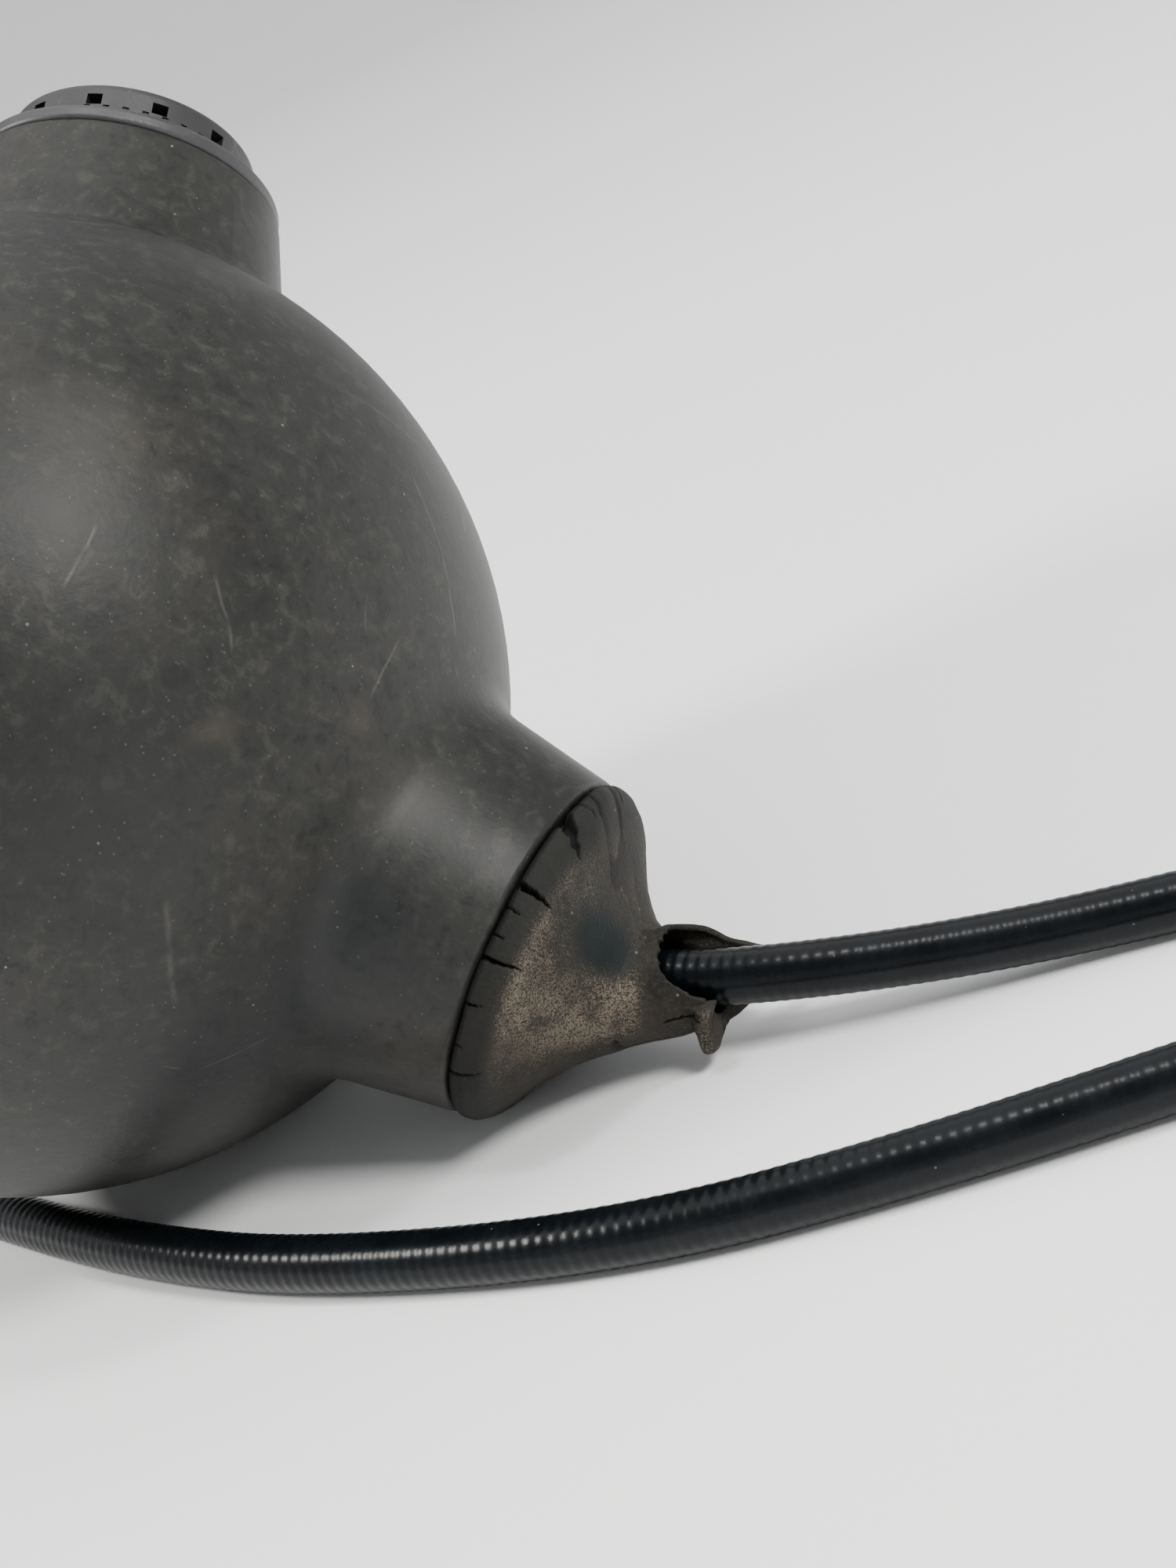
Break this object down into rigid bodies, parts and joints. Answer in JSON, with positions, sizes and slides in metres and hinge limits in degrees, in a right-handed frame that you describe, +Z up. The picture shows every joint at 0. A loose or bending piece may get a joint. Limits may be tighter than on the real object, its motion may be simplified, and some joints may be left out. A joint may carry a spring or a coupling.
{
  "type": "hand vacuum pump",
  "caption": "Rubber squeeze-ball hand vacuum pump with a valved suction neck, a valved exhaust neck and a hose that ends in a coupling with a release button.",
  "frame": {"origin": "bottom centre of the pump's box, without the hose and what is on it: on the table that the ball and the suction neck's rim stand on", "axes": "+Z up; +X is level along the suction neck, which dips 36.3 degrees below it; +Y is level along the exhaust neck, which rises 39 degrees"},
  "size_m": [0.3485, 0.143, 0.1315],
  "materials": {
    "ball_rubber": "matte grey-black rubber, dusty and scuffed",
    "boot_rubber": "perished, cracked brown-black rubber",
    "hose": "glossy blue-black hose with fine ribs",
    "black_moulding": "satin black moulded plastic",
    "cap_moulding": "satin black moulded plastic",
    "cage_moulding": "natural nylon",
    "button_moulding": "satin dark red plastic",
    "seal_rubber": "black nitrile",
    "valve_rubber": "red-brown silicone",
    "brass": "turned brass",
    "crimp_aluminium": "dull drawn aluminium",
    "spring_steel": "drawn stainless wire"
  },
  "bodies": {
    "pump": {"bulb_shell": "ball_rubber", "suction_boot": "boot_rubber", "hose_lead": "hose", "hose_coil": "hose", "hose_tail": "hose", "suction_plug": "black_moulding", "exhaust_body": "black_moulding", "exhaust_cap": "cap_moulding", "suction_neck_ring": "seal_rubber", "exhaust_neck_ring": "seal_rubber", "barb_washer": "seal_rubber", "nozzle_ring": "seal_rubber", "inlet_valve_seat": "brass", "exhaust_valve_seat": "brass", "hose_barb": "brass", "coupling_barb": "brass", "inlet_valve_spring": "spring_steel", "exhaust_valve_spring": "spring_steel", "release_spring": "spring_steel", "inlet_valve_ring": "spring_steel", "exhaust_valve_ring": "spring_steel", "inlet_valve_cage": "cage_moulding", "exhaust_valve_cage": "cage_moulding", "hose_clip": "crimp_aluminium", "hose_ferrule": "crimp_aluminium", "coupling_body": "black_moulding", "release_plug": "brass"},
    "inlet_valve": {"inlet_valve_disc": "valve_rubber"},
    "exhaust_valve": {"exhaust_valve_disc": "valve_rubber"},
    "release": {"release_button": "button_moulding", "release_stem": "spring_steel", "release_washer": "seal_rubber"}
  },
  "joints": [
    {"name": "inlet_valve_lift", "type": "slide", "parent": "pump", "child": "inlet_valve", "axis": [-0.8059, 0, 0.592], "range_m": [0, 0.0012], "stiffness_N_per_m": 40, "springref_m": -0.002, "deforming": ["inlet_valve_spring"]},
    {"name": "exhaust_valve_lift", "type": "slide", "parent": "pump", "child": "exhaust_valve", "axis": [0, 0.7771, 0.6293], "range_m": [0, 0.0012], "stiffness_N_per_m": 40, "springref_m": -0.002, "deforming": ["exhaust_valve_spring"]},
    {"name": "release_press", "type": "slide", "parent": "pump", "child": "release", "axis": [0, 0, -1], "range_m": [0, 0.002], "stiffness_N_per_m": 300, "springref_m": -0.002, "deforming": ["release_spring"]}
  ]
}
